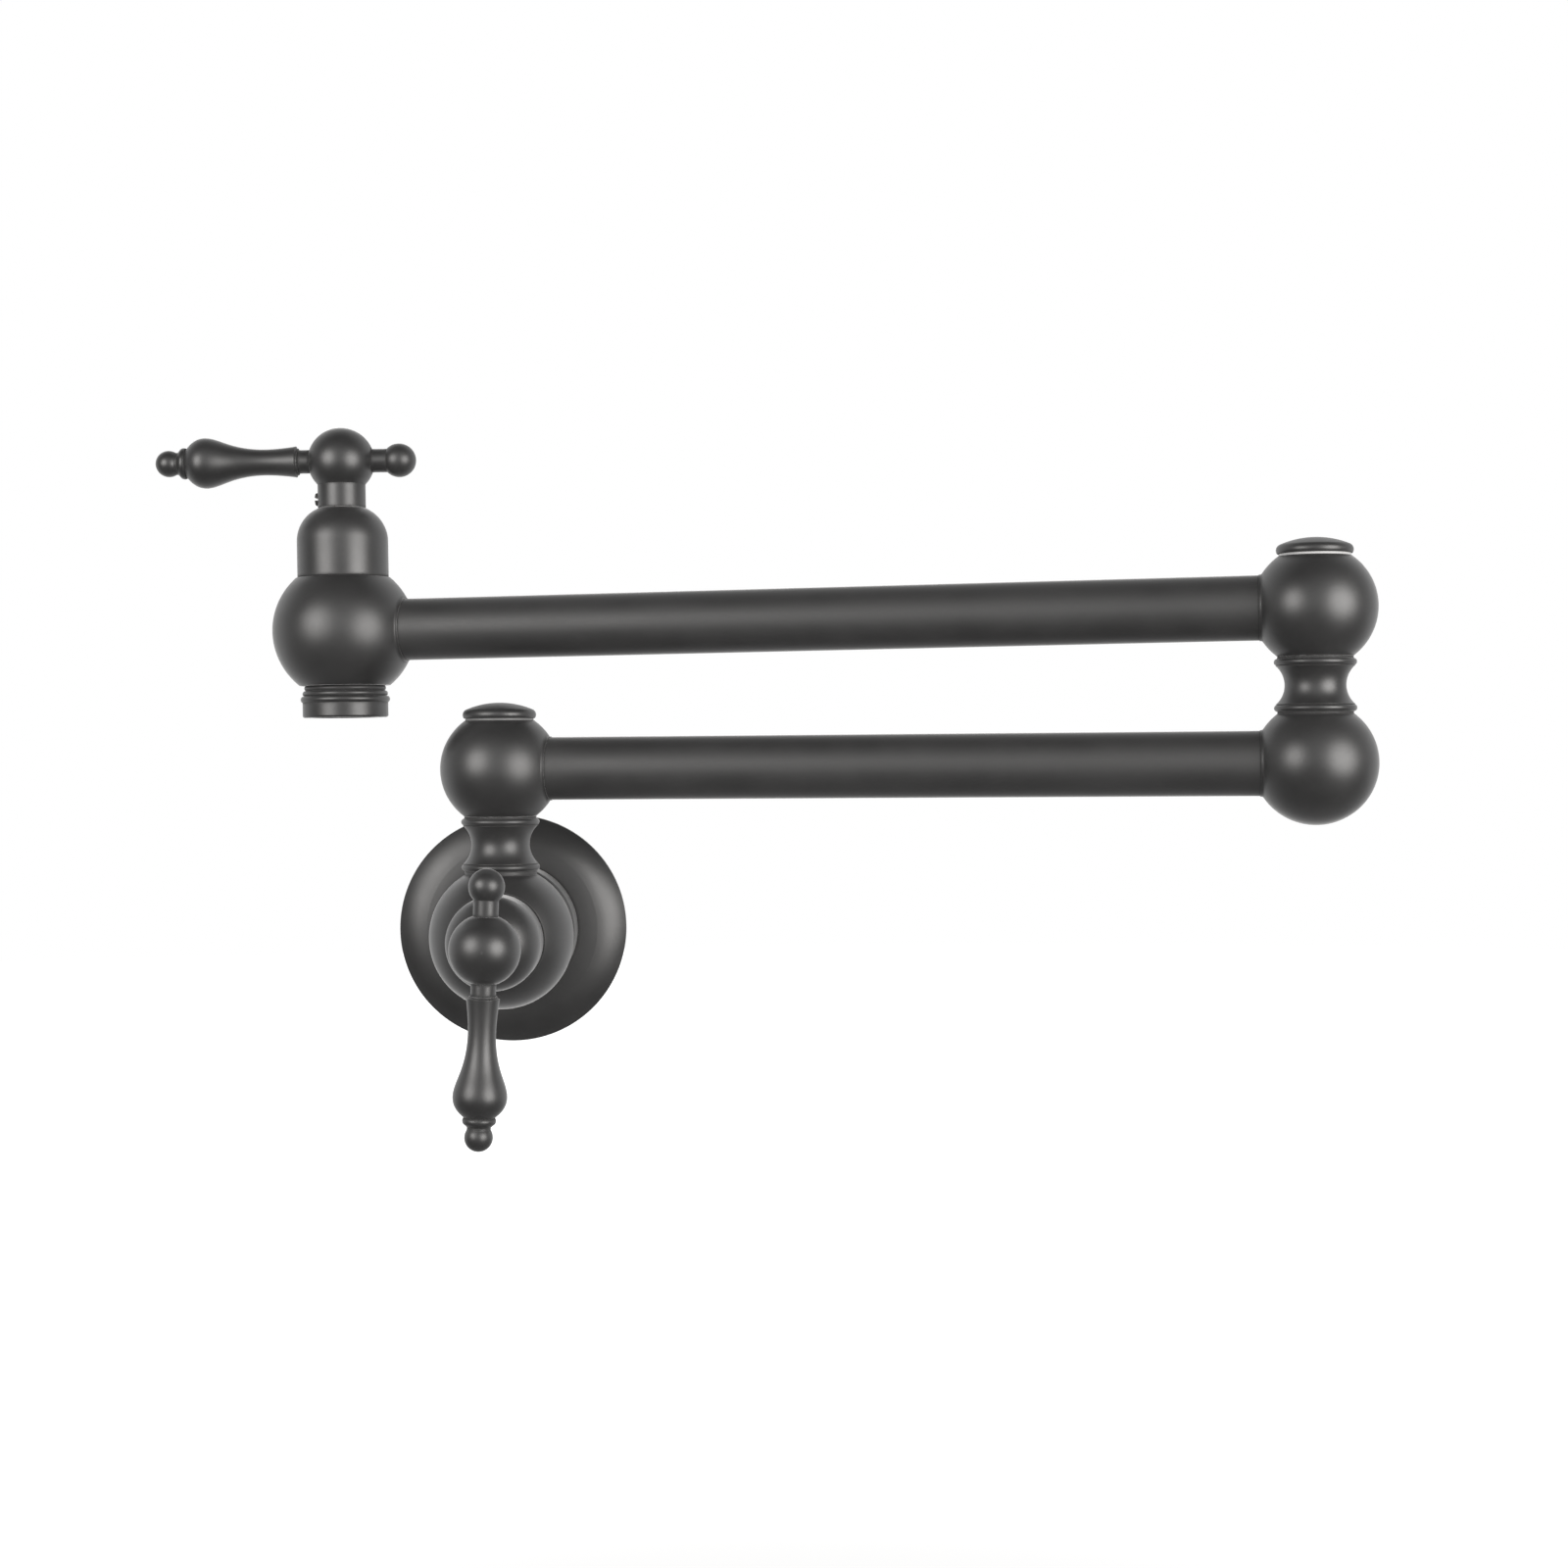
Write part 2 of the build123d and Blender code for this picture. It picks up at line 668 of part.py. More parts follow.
def lever_arm():
    """The turned lever: neck, flared collar, waist, bulb, ring and tip ball, along Z from the hub's centre."""
    start = bar_start()
    ring_end = lever_ring_at + lever_ring_length
    tip_join = lever_tip_at - flat_height(lever_tip_radius, lever_groove_radius)
    tip_end = lever_tip_at + lever_tip_radius
    collar_foot = (lever_collar_radius - lever_collar_round, lever_collar_at)
    collar_edge = (lever_collar_radius, lever_collar_at + lever_collar_round)
    ring_mid = (lever_ring_at + ring_end) / 2
    ring_foot = lever_ring_radius - lever_ring_round
    notch = (lever_notch_radius, lever_ring_at)
    groove = (lever_groove_radius, lever_groove_at)
    join = (lever_groove_radius, tip_join)
    return turned(
        Polyline(*start, (bar_neck_radius, lever_collar_at), collar_foot),
        RadiusArc(collar_foot, collar_edge, lever_collar_round),
        Spline(
            collar_edge,
            (lever_flare_radius, lever_flare_at),
            (lever_waist_radius, lever_waist_at),
            (lever_swell_radius, lever_swell_at),
            (lever_bulb_radius, lever_bulb_at),
            notch,
        ),
        Line(notch, (ring_foot, lever_ring_at)),
        ThreePointArc((ring_foot, lever_ring_at), (lever_ring_radius, ring_mid), (ring_foot, ring_end)),
        Polyline((ring_foot, ring_end), groove, join),
        ThreePointArc(join, (lever_tip_radius, lever_tip_at), (0, tip_end)),
        Line((0, tip_end), start[0]),
    )


def hub_knob():
    """The small ball finial opposite the lever, along Z from the hub's centre."""
    start = bar_start()
    join = knob_at - flat_height(knob_radius, bar_neck_radius)
    end = knob_at + knob_radius
    return turned(
        Polyline(*start, (bar_neck_radius, join)),
        ThreePointArc((bar_neck_radius, join), (knob_radius, knob_at), (0, end)),
        Line((0, end), start[0]),
    )


def grub_screw():
    """The slotted screw through the hub's neck onto the stem, pointing along -X."""
    outer = hub_neck_radius + grub_proud
    inner = stem_end_radius + running_gap
    screw = rod(grub_radius, inner, outer)
    screw = chamfer(screw.edges().group_by(Axis.Z)[-1], grub_chamfer)
    slot = Box(grub_slot_width, trim_size, grub_slot_depth, align=FROM_BASE)
    return Rot(0, -90, 0) * (screw - Pos(0, 0, outer - grub_slot_depth) * slot)


def save_valve(name, place, turn):
    """Write a valve's fixed headwork and its turning handle at a ball's place."""
    seat = place * Pos(0, 0, bonnet_seat)
    moving = seat * turn
    hub = moving * Pos(0, 0, hub_height)
    save(f"{name}_bonnet", seat * bonnet())
    save(f"{name}_headwork", seat * headwork_body())
    save(f"{name}_seat_seal", seat * seat_seal())
    save(f"{name}_fixed_disc", seat * ported_disc(fixed_disc_low))
    save(f"{name}_moving_disc", moving * moving_disc())
    save(f"{name}_stem", moving * stem())
    save(f"{name}_stem_clip", moving * stem_clip())
    save(f"{name}_stem_oring", moving * oring(stem_radius + running_gap, hex_height))
    save(f"{name}_handle_hub", hub * handle_hub())
    save(f"{name}_lever_arm", hub * Rot(0, -90, 0) * lever_arm())
    save(f"{name}_hub_knob", hub * Rot(0, 90, 0) * hub_knob())
    save(f"{name}_grub_screw", moving * Pos(0, 0, grub_height) * grub_screw())


def outlet_collar():
    """The threaded collar with two beads that joins the outlet ball to the aerator, below Z = 0."""
    low = -2 * outlet_bead_height
    thread = aerator_radius - aerator_wall - fit_gap
    collar = bead_disc(outlet_upper_bead_radius, outlet_bead_round, -outlet_bead_height, 0)
    collar += bead_disc(outlet_lower_bead_radius, outlet_bead_round, low, -outlet_bead_height)
    collar += rod(outlet_spigot_radius, 0, outlet_spigot_depth)
    collar += rod(thread, low - aerator_thread_length, low)
    collar -= rod(water_port_radius, low, outlet_spigot_depth)
    return collar - rod(thread - aerator_thread_wall, low - aerator_thread_length, low)


def aerator_housing():
    """The screw-on aerator sleeve with its bead ridge, hanging below Z = 0."""
    ridge_foot = aerator_ridge_radius - aerator_ridge_round
    inside = aerator_radius - aerator_wall
    mouth = aerator_radius - aerator_lip_width
    bottom = -aerator_height
    corner = aerator_round * (1 - cos(radians(45)))
    return turned(
        Line((inside, 0), (ridge_foot, 0)),
        ThreePointArc(
            (ridge_foot, 0),
            (aerator_ridge_radius, -aerator_ridge_height / 2),
            (aerator_radius, -aerator_ridge_height),
        ),
        Line((aerator_radius, -aerator_ridge_height), (aerator_radius, bottom + aerator_round)),
        ThreePointArc(
            (aerator_radius, bottom + aerator_round),
            (aerator_radius - corner, bottom + corner),
            (aerator_radius - aerator_round, bottom),
        ),
        Line((aerator_radius - aerator_round, bottom), (mouth, bottom)),
        Line((mouth, bottom), (mouth, bottom + aerator_lip)),
        Line((mouth, bottom + aerator_lip), (inside, bottom + aerator_lip)),
        Line((inside, bottom + aerator_lip), (inside, 0)),
    )


insert_bore = aerator_radius - aerator_wall - 2 * fit_gap - aerator_thread_wall
insert_low = aerator_lip - aerator_height
insert_shoulder = insert_low + insert_flange_thickness


def honeycomb(reach, hole_radius, low, high):
    """Round holes on a six-sided grid, as far as a reach from the axis."""
    rows = int(reach / honeycomb_pitch) + 1
    holes = []
    for row in range(-rows, rows + 1):
        for column in range(-2 * rows, 2 * rows + 1):
            x = (column + row / 2) * honeycomb_pitch
            y = row * honeycomb_pitch * sqrt(3) / 2
            if sqrt(x**2 + y**2) < reach:
                holes.append(Pos(x, y, 0) * rod(hole_radius, low, high))
    return holes


def aerator_insert():
    """The honeycomb flow straightener that sits on the aerator's lip."""
    high = insert_low + insert_height
    insert = rod(aerator_radius - aerator_wall - handle_gap, insert_low, insert_shoulder)
    insert += rod(insert_bore - handle_gap, insert_shoulder, high)
    mouth = min(aerator_radius - aerator_lip_width, insert_bore - 2 * handle_gap)
    return insert - honeycomb(mouth - honeycomb_radius, honeycomb_radius, insert_low, high)


def aerator_screen():
    """The thin dirt screen on top of the insert."""
    low = insert_low + insert_height
    high = low + screen_thickness
    edge = insert_bore - handle_gap
    return rod(edge, low, high) - honeycomb(edge - 2 * screen_hole_radius, screen_hole_radius, low, high)


def aerator_washer():
    """The rubber ring between the collar's thread and the insert's flange."""
    outer = aerator_radius - aerator_wall - handle_gap
    return ring(outer, insert_bore, insert_shoulder, -aerator_thread_length)


os.makedirs("parts", exist_ok=True)

# Wall side: flange, inlet, wall valve and riser
save("wall_flange", from_wall * wall_flange())
save("flange_gasket", from_wall * flange_gasket())
save("flange_sleeve", from_wall * flange_sleeve())
save("inlet_shank", from_wall * inlet_shank())
save("inlet_washer", from_wall * inlet_washer())
save("wall_valve_body", wall_valve * wall_valve_body())
save("riser_spool", Pos(0, -wall_to_riser, riser_flat) * spool(riser_base_collar, riser_waist_length))
save_valve("wall", wall_valve, wall_handle_turn)

# Swivels: each stands on the ball below it and carries the ball above it
elbow_spool_low = -arm_flat - swivel_gap - elbow_spool_length
save("elbow_spool", elbow * Pos(0, 0, elbow_spool_low) * spool(spool_collar, elbow_waist_length))
swivels = (("shoulder", lower_arm, riser_spool_length), ("elbow", elbow, elbow_spool_length))
for swivel, place, spool_length in swivels:
    save(f"{swivel}_post", place * swivel_post(spool_length))
    save(f"{swivel}_orings", place * swivel_orings())
    save(f"{swivel}_thrust_washer", place * thrust_washer())
    save(f"{swivel}_nut_washer", place * nut_washer())
    save(f"{swivel}_nut", place * swivel_nut())
    save(f"{swivel}_cap_washer", place * cap_washer())
    save(f"{swivel}_cap", place * swivel_cap())

# Lower arm
arm_floor = socket_floor(arm_ball_radius)
outlet_floor = socket_floor(valve_ball_radius)
save("shoulder_ball", lower_arm * swivel_ball())
save("lower_arm_tube", lower_arm * arm_tube(lower_arm_length, arm_floor, arm_floor))
save("elbow_lower_ball", elbow_foot * elbow_lower_ball())

# Upper arm and outlet
save("elbow_upper_ball", upper_arm * swivel_ball(upper_arm_fall))
save("upper_arm_tube", outlet * arm_tube(upper_arm_length, outlet_floor, arm_floor))
save("outlet_valve_body", outlet * outlet_valve_body())
save_valve("outlet", outlet, outlet_handle_turn)
outlet_place = outlet * Pos(0, 0, -outlet_seat)
aerator_place = outlet_place * Pos(0, 0, -2 * outlet_bead_height)
save("outlet_collar", outlet_place * outlet_collar())
save("aerator_housing", aerator_place * aerator_housing())
save("aerator_insert", aerator_place * aerator_insert())
save("aerator_screen", aerator_place * aerator_screen())
save("aerator_washer", aerator_place * aerator_washer())
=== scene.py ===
import json
import math

import bmesh
import bpy
from bpy.props import FloatProperty, FloatVectorProperty, IntProperty, PointerProperty
from mathutils import Matrix, Vector


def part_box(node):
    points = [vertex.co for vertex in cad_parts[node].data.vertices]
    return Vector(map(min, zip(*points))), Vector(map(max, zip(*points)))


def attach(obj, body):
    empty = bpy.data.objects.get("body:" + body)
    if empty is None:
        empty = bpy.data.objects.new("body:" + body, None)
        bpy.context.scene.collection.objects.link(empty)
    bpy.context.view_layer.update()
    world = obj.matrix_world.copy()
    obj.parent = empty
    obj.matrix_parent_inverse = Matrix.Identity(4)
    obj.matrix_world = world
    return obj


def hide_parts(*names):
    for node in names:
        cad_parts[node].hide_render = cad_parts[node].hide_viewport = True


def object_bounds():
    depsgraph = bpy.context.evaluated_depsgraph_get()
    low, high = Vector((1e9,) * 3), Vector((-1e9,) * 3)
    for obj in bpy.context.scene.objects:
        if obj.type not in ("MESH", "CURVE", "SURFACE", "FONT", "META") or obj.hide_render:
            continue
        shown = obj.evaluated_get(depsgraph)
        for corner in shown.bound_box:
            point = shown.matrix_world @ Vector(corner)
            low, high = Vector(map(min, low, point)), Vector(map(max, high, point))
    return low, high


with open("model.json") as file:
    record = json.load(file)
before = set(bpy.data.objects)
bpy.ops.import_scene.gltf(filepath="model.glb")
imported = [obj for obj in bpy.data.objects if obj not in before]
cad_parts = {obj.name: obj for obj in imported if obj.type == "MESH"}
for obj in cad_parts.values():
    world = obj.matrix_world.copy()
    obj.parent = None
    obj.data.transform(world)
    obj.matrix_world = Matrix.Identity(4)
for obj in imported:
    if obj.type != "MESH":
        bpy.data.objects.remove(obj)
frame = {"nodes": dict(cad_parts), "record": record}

bl_info = {
    "name": "Folding wall faucet",
    "version": (1, 0, 0),
    "blender": (4, 5, 0),
    "location": "3D View > Sidebar > Faucet",
    "description": "Finishes, threaded inlet and studio of a folding wall faucet",
    "category": "Object",
}

CAD_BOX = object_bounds()

# Pieces by finish
BALLS_AND_BONNETS = (
    "wall_valve_body", "shoulder_ball", "elbow_lower_ball", "elbow_upper_ball", "outlet_valve_body",
    "wall_bonnet", "outlet_bonnet",
)
SPOOLS = ("riser_spool", "elbow_spool")
SWIVEL_CAPS = ("shoulder_cap", "elbow_cap")
WALL_PLATE = ("wall_flange", "flange_sleeve")
ARM_TUBES = ("lower_arm_tube", "upper_arm_tube")
SPOUT = ("outlet_collar", "aerator_housing")
HANDLES = (
    "wall_handle_hub", "wall_lever_arm", "wall_hub_knob",
    "outlet_handle_hub", "outlet_lever_arm", "outlet_hub_knob",
)
GRUB_SCREWS = ("wall_grub_screw", "outlet_grub_screw")
BRASS_WORK = (
    "shoulder_post", "elbow_post", "wall_headwork", "outlet_headwork", "wall_stem", "outlet_stem",
)
STEEL_WORK = (
    "shoulder_nut_washer", "shoulder_nut", "elbow_nut_washer", "elbow_nut", "aerator_screen",
    "wall_stem_clip", "outlet_stem_clip",
)
RUBBER_SEALS = (
    "flange_gasket", "inlet_washer", "shoulder_orings", "elbow_orings", "wall_seat_seal",
    "outlet_seat_seal", "wall_stem_oring", "outlet_stem_oring", "aerator_washer",
)
CERAMIC_DISCS = ("wall_fixed_disc", "wall_moving_disc", "outlet_fixed_disc", "outlet_moving_disc")
# The two cap washers are the same nylon in two tones: the shoulder's is darker as painted shade, and the
# elbow's is paler as painted light.
SHADE_PAINTED_WASHERS = ("shoulder_cap_washer",)
LIGHT_PAINTED_WASHERS = ("elbow_cap_washer",)
PLASTIC_PIECES = ("shoulder_thrust_washer", "elbow_thrust_washer", "aerator_insert")

# Main colour, second colour and roughness of the uncoated finishes
STEEL = ((0.62, 0.62, 0.63), (0.46, 0.46, 0.47), 0.30)
RUBBER = ((0.026, 0.026, 0.027), (0.05, 0.05, 0.05), 0.62)
CERAMIC = ((0.86, 0.86, 0.84), (0.90, 0.90, 0.88), 0.28)
# One nylon in two tones: the first is darker as painted shade, and the second is paler as painted light.
NYLON_WITH_PAINTED_SHADE = ((0.16, 0.16, 0.16), (0.20, 0.20, 0.20), 0.5)
NYLON_WITH_PAINTED_LIGHT = ((0.52, 0.52, 0.52), (0.60, 0.60, 0.60), 0.5)
PLASTIC = ((0.78, 0.78, 0.76), (0.84, 0.84, 0.82), 0.45)

# Values between which a mask rises from none to full
SOFT_CLOUD = (0.3, 0.7)
DULL_PATCH = (0.35, 0.7)
# The patch mask below breaks up the edge lightening, which is partly wear and partly a painted highlight.
WEAR_AND_HIGHLIGHT_PATCH = (0.42, 0.66)
EDGE_BEND = (0.01, 0.16)
OPEN_CORNER = (0.74, 0.97)

# How much the clouds and then the grain change a roughness
COATING_UNEVENNESS = (0.16, 0.10)
METAL_UNEVENNESS = (0.2, 0.1)
MATTER_UNEVENNESS = (0.15, 0.08)

# How much smoother rubbed coating and the edges of metal are
RUB_POLISH = 0.08
EDGE_POLISH = 0.06

# Least part of an edge's lightening, which is partly rubbed wear and partly a painted highlight, and the
# part of a pale colour that an edge adds
LEAST_WEAR_AND_HIGHLIGHT = 0.25
PALE_EDGE = 0.4

# How much longer the tubes' grain is along them, and the angle at which both lean away from the wall
TUBE_GRAIN_STRETCH = (5.0, 1.0, 1.0)
TUBE_LEAN = math.radians(-10.5)

# Directions between which the white room behind and the glow in front rise, as gloss shows them
WHITE_SPREAD = (0.0, 0.95)
GLOW_SPREAD = (0.62, 1.02)

# The floor's middle under the faucet, its radius, and where its shadow fades out, in metres
FLOOR_MIDDLE = (0.1, -0.1)
FLOOR_RADIUS = 4.0
SHADOW_FADE = (0.3, 0.8)
WHITE = (1.0, 1.0, 1.0)


class Wire:
    """One output of a node tree. Sums and products of wires add the nodes that work them out."""

    def __init__(self, tree, socket=None):
        self.tree = tree
        self.socket = socket

    def node(self, kind, settings=None, inputs=None, output=0):
        """Add a node: its settings first, then the values or wires of its sockets."""
        added = self.tree.nodes.new(kind)
        for name, value in (settings or {}).items():
            setattr(added, name, value)
        for name, value in (inputs or {}).items():
            if isinstance(value, Wire):
                self.tree.links.new(value.socket, added.inputs[name])
            else:
                added.inputs[name].default_value = value
        return Wire(self.tree, added.outputs[output] if added.outputs else None)

    def maths(self, operation, *values):
        return self.node("ShaderNodeMath", {"operation": operation}, dict(enumerate(values)))

    def __add__(self, other):
        return self.maths("ADD", self, other)

    def __sub__(self, other):
        return self.maths("SUBTRACT", self, other)

    def __rsub__(self, other):
        return self.maths("SUBTRACT", other, self)

    def __mul__(self, other):
        return self.maths("MULTIPLY", self, other)

    __radd__ = __add__
    __rmul__ = __mul__

    def steps(self, low, high, start=0.0, end=1.0):
        """A smooth rise from start to end as the value goes from low to high."""
        values = {"Value": self, "From Min": low, "From Max": high, "To Min": start, "To Max": end}
        return self.node("ShaderNodeMapRange", {"interpolation_type": "SMOOTHSTEP"}, values)

    def tint(self, first, second):
        """A colour from first to second as the value goes from 0 to 1."""
        return self.node("ShaderNodeMix", {"data_type": "RGBA"}, {0: self, 6: first, 7: second}, 2)

    def noise(self, size, detail=2.0):
        """Soft noise with features of a size, over these coordinates."""
        values = {"Vector": self, "Scale": 1.0 / size, "Detail": detail}
        return self.node("ShaderNodeTexNoise", None, values)


def new_finish(name):
    """A material with an empty tree, and a wire to start from."""
    material = bpy.data.materials.new(name)
    material.use_nodes = True
    material.node_tree.nodes.clear()
    return material, Wire(material.node_tree)


def object_place(start):
    return start.node("ShaderNodeTexCoord", output="Object")


def edges_of(start, radius):
    """The normal with its sharp edges eased, and a mask that is 1 along those edges."""
    eased = start.node("ShaderNodeBevel", {"samples": 6}, {"Radius": radius})
    straight = start.node("ShaderNodeNewGeometry", output="Normal")
    normals = {0: eased, 1: straight}
    facing = start.node("ShaderNodeVectorMath", {"operation": "DOT_PRODUCT"}, normals, "Value")
    return eased, (1.0 - facing).steps(*EDGE_BEND)


def shelter_of(start, reach):
    """1 on open surfaces and less in corners, where nothing rubs and dust stays."""
    return start.node("ShaderNodeAmbientOcclusion", {"samples": 6}, {"Distance": reach}, "AO")


def rgba(colour):
    return (*colour, 1.0)


def finish_off(start, material, shader):
    start.node("ShaderNodeOutputMaterial", None, {"Surface": shader})
    return material


def uneven(roughness, cloud, grain, cloud_part, grain_part):
    """A roughness that clouds and grain raise or lower by up to half of these parts."""
    return roughness + (cloud - 0.5) * cloud_part + (grain - 0.5) * grain_part


def grained_shader(start, sizes, colour, roughness, grain, eased, fixed=None):
    """A surface shader with the fine grain as its bump, and fixed values on other sockets."""
    relief = start.node("ShaderNodeBump", None, {
        "Strength": sizes.grain_strength,
        "Distance": sizes.grain_depth,
        "Height": grain,
        "Normal": eased,
    })
    inputs = {"Base Color": colour, "Roughness": roughness, "Normal": relief}
    return start.node("ShaderNodeBsdfPrincipled", None, inputs | (fixed or {}))


def dark_satin(name, sizes, stretch=(1.0, 1.0, 1.0), turn=0.0, worn=0.0, dulling=0.0, dust=1.0):
    """The satin dark coating: fine grain, soft clouds, dull corners, and edges painted a little lighter,
    partly as rubbed wear and partly as a painted highlight along the edges.
    """
    material, start = new_finish(name)
    place = object_place(start)
    turned = {"Vector": place, "Rotation": (0.0, 0.0, turn), "Scale": stretch}
    drawn = start.node("ShaderNodeMapping", {"vector_type": "TEXTURE"}, turned)
    cloud = place.noise(sizes.cloud_size, detail=3.0)
    grain = drawn.noise(sizes.grain_size)
    patch = place.noise(sizes.wear_and_highlight_patch_size, detail=4.0).steps(*WEAR_AND_HIGHLIGHT_PATCH)
    eased, edge = edges_of(start, sizes.edge_round)
    open_air = shelter_of(start, sizes.corner_reach).steps(*OPEN_CORNER)
    # Edge lightening: partly rubbed wear, partly a painted highlight along the edges; worn lightens a whole
    # piece the same way.
    rubbed = worn + (1.0 - worn) * edge * open_air * (LEAST_WEAR_AND_HIGHLIGHT + (1.0 - LEAST_WEAR_AND_HIGHLIGHT) * patch)
    body = cloud.steps(*SOFT_CLOUD).tint(rgba(sizes.dark_colour), rgba(sizes.cloud_colour))
    colour = (rubbed * sizes.wear_and_highlight_strength).tint(body, rgba(sizes.worn_edge_highlight_colour))
    roughness = uneven(sizes.dark_roughness + dulling, cloud, grain, *COATING_UNEVENNESS)
    roughness += (1.0 - open_air) * sizes.corner_dulling - rubbed * RUB_POLISH
    shader = grained_shader(start, sizes, colour, roughness, grain, eased, {
        "Specular IOR Level": sizes.coating_gloss,
        "Sheen Weight": sizes.dusty_sheen * dust,
        "Sheen Roughness": sizes.sheen_spread,
    })
    return finish_off(start, material, shader)


def bare_metal(name, colour, dull_colour, roughness, sizes):
    """Uncoated machined metal, with dull patches and faint tool marks."""
    material, start = new_finish(name)
    place = object_place(start)
    cloud = place.noise(sizes.cloud_size, detail=4.0)
    marks = place.noise(sizes.grain_size)
    eased, edge = edges_of(start, sizes.edge_round)
    body = cloud.steps(*DULL_PATCH).tint(rgba(colour), rgba(dull_colour))
    rough = uneven(roughness, cloud, marks, *METAL_UNEVENNESS) - edge * EDGE_POLISH
    shader = grained_shader(start, sizes, body, rough, marks, eased, {"Metallic": 1.0})
    return finish_off(start, material, shader)


def plain_matter(name, colour, pale_colour, roughness, sizes):
    """Rubber, ceramic or moulded plastic: a matt body with a fine skin."""
    material, start = new_finish(name)
    place = object_place(start)
    cloud = place.noise(sizes.cloud_size, detail=3.0)
    skin = place.noise(sizes.grain_size)
    eased, edge = edges_of(start, sizes.edge_round)
    pale = (1.0 - PALE_EDGE) * cloud.steps(*SOFT_CLOUD) + PALE_EDGE * edge
    rough = uneven(roughness, cloud, skin, *MATTER_UNEVENNESS)
    body = pale.tint(rgba(colour), rgba(pale_colour))
    return finish_off(start, material, grained_shader(start, sizes, body, rough, skin, eased))


def cut_brass(name, sizes):
    return bare_metal(name, sizes.brass_colour, sizes.dull_brass, sizes.brass_roughness, sizes)


def coat(nodes, finish):
    """Give a finish to the frame's nodes of these names."""
    for name in nodes:
        if name not in frame["nodes"]:
            raise RuntimeError(f"the frame has no piece named {name}")
        materials = frame["nodes"][name].data.materials
        materials.clear()
        materials.append(finish)


class FaucetFinishes(bpy.types.PropertyGroup):
    """Colours and textures of the faucet's finishes."""

    dark_colour: FloatVectorProperty(
        name="Dark coating", description="Darker colour of the satin coating",
        subtype="COLOR", min=0.0, max=1.0, default=(0.0150, 0.0148, 0.0149))
    cloud_colour: FloatVectorProperty(
        name="Cloudy coating", description="Lighter colour of the satin coating's soft clouds",
        subtype="COLOR", min=0.0, max=1.0, default=(0.0200, 0.0197, 0.0198))
    # This colour and the strength below paint the edges lighter, partly as rubbed wear and partly as a
    # painted highlight.
    worn_edge_highlight_colour: FloatVectorProperty(
        name="Rubbed edge", description="Colour of edges rubbed by hands and cloths",
        subtype="COLOR", min=0.0, max=1.0, default=(0.10, 0.094, 0.088))
    wear_and_highlight_strength: FloatProperty(
        name="Rub strength", description="How much of the rubbed colour shows on edges",
        subtype="FACTOR", min=0.0, max=1.0, default=0.55)
    dark_roughness: FloatProperty(
        name="Coating roughness", description="Roughness of the satin coating",
        subtype="FACTOR", min=0.0, max=1.0, default=0.42)
    coating_gloss: FloatProperty(
        name="Coating gloss", description="How strongly the satin coating mirrors straight on",
        subtype="FACTOR", min=0.0, max=1.0, default=1.0)
    dusty_sheen: FloatProperty(
        name="Dusty sheen", description="How much the satin coating brightens where it turns away",
        subtype="FACTOR", min=0.0, max=1.0, default=0.65)
    cap_dust: FloatProperty(
        name="Cap dust", description="Share of the dusty sheen that the swivel caps keep",
        subtype="FACTOR", min=0.0, max=1.0, default=0.1)
    sheen_spread: FloatProperty(
        name="Sheen spread", description="How far in from the edge of view the sheen reaches",
        subtype="FACTOR", min=0.0, max=1.0, default=0.25)
    cloud_size: FloatProperty(
        name="Cloud size", description="Size of the soft clouds in a finish",
        unit="LENGTH", default=0.018)
    # Patches that break up the edge lightening, which is partly wear and partly a painted highlight.
    wear_and_highlight_patch_size: FloatProperty(
        name="Rub patches", description="Size of the patches that break up the rubbed edges",
        unit="LENGTH", default=0.006)
    grain_size: FloatProperty(
        name="Grain size", description="Size of the coating's fine grain",
        unit="LENGTH", default=0.0004)
    grain_depth: FloatProperty(
        name="Grain depth", description="Height of the coating's fine grain",
        unit="LENGTH", default=0.00003)
    grain_strength: FloatProperty(
        name="Grain strength", description="How strongly the grain shows",
        subtype="FACTOR", min=0.0, max=1.0, default=0.25)
    tube_dulling: FloatProperty(
        name="Tube dulling", description="How much rougher the drawn tubes are than the turned pieces",
        subtype="FACTOR", min=0.0, max=1.0, default=0.14)
    corner_reach: FloatProperty(
        name="Corner reach", description="How far out of a corner its dullness shows",
        unit="LENGTH", default=0.0012)
    corner_dulling: FloatProperty(
        name="Corner dulling", description="How much rougher the coating is in corners",
        subtype="FACTOR", min=0.0, max=1.0, default=0.5)
    # Lightens the screws all over, partly as wear and partly as a painted highlight.
    screw_wear_and_highlight: FloatProperty(
        name="Screw wear", description="How much the screws are rubbed all over",
        subtype="FACTOR", min=0.0, max=1.0, default=0.6)
    brass_colour: FloatVectorProperty(
        name="Brass", description="Colour of freshly cut brass",
        subtype="COLOR", min=0.0, max=1.0, default=(0.72, 0.56, 0.30))
    dull_brass: FloatVectorProperty(
        name="Dull brass", description="Colour of the brass's dull patches",
        subtype="COLOR", min=0.0, max=1.0, default=(0.50, 0.38, 0.20))
    brass_roughness: FloatProperty(
        name="Brass roughness", description="Roughness of cut brass",
        subtype="FACTOR", min=0.0, max=1.0, default=0.34)
    edge_round: FloatProperty(
        name="Edge round", description="Radius that sharp edges are eased by",
        unit="LENGTH", default=0.0003)


